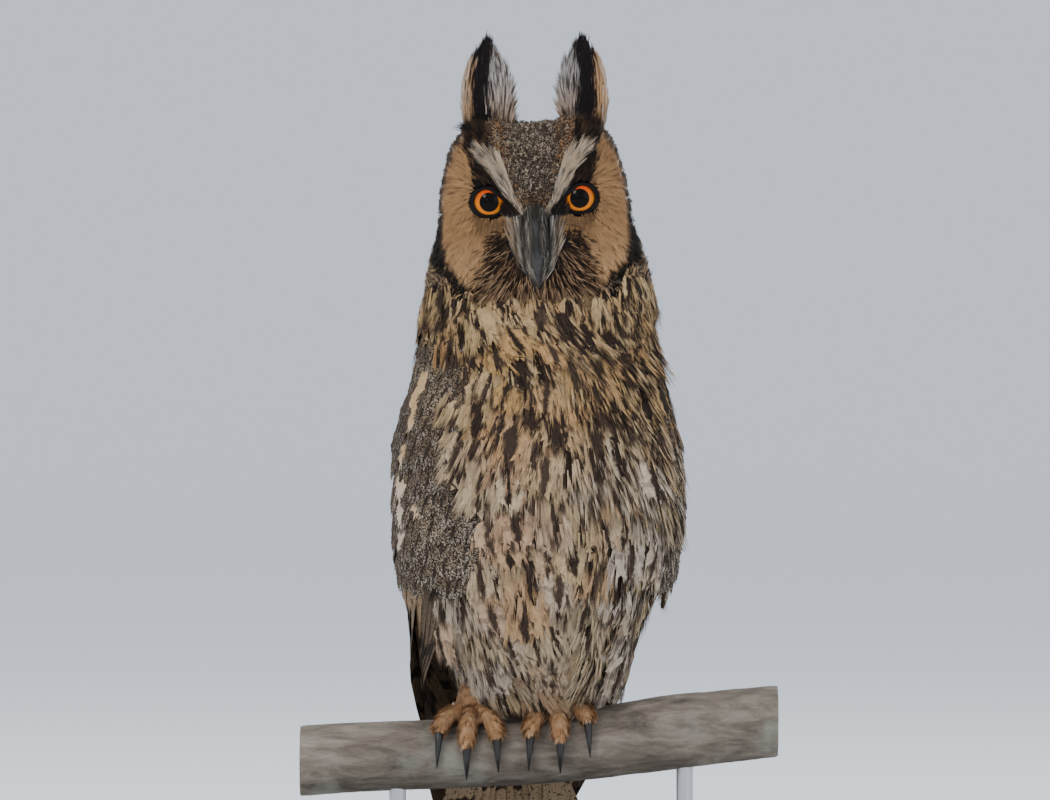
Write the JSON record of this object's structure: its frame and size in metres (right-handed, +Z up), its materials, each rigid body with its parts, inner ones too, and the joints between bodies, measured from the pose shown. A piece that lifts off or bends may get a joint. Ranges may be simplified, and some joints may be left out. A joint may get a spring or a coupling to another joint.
{
  "type": "long-eared owl model",
  "caption": "Life-size long-eared owl with raised ear tufts and folded wings, gripping a cut branch held by two rods over a round base.",
  "frame": {"origin": "middle of the underside of the round stand base, on the surface the model stands on", "axes": "+Z up; the owl's face looks along -Y and its own left side is at +X; the perch runs along X"},
  "size_m": [0.24, 0.24, 0.4386],
  "materials": {
    "breast_feathers": "soft buff breast feathers with dark brown shaft streaks",
    "face_feathers": "tan facial disc with black and white bristly feathers at its middle",
    "tuft_feathers": "blackish tuft feathers with buff and whitish edges",
    "wing_feathers": "mottled grey-brown wing feathers with dark bars",
    "tail_feathers": "grey-brown tail feathers with narrow dark bars",
    "leg_feathers": "short tan feathers down to the claws",
    "bill": "dark grey horn, satin",
    "claws": "blackish horn, satin",
    "eyes": "clear cornea over an orange iris and a black pupil",
    "bark": "grey-brown bark with sawn ends",
    "stand_wood": "dark stained and waxed wood",
    "stand_steel": "brushed steel rod"
  },
  "bodies": {
    "root": {"bill_lower": "bill", "bill_upper": "bill", "claw_left_hind": "claws", "claw_left_inner": "claws", "claw_left_middle": "claws", "claw_left_outer": "claws", "claw_right_hind": "claws", "claw_right_inner": "claws", "claw_right_middle": "claws", "claw_right_outer": "claws", "ear_tuft_left": "tuft_feathers", "ear_tuft_right": "tuft_feathers", "eye_left": "eyes", "eye_right": "eyes", "foot_left": "leg_feathers", "foot_right": "leg_feathers", "head": "face_feathers", "leg_left": "leg_feathers", "leg_right": "leg_feathers", "neck": "breast_feathers", "perch": "bark", "stand_base": "stand_wood", "stand_rod_left": "stand_steel", "stand_rod_right": "stand_steel", "tail": "tail_feathers", "torso": "breast_feathers", "wing_left": "wing_feathers", "wing_right": "wing_feathers"}
  },
  "joints": []
}
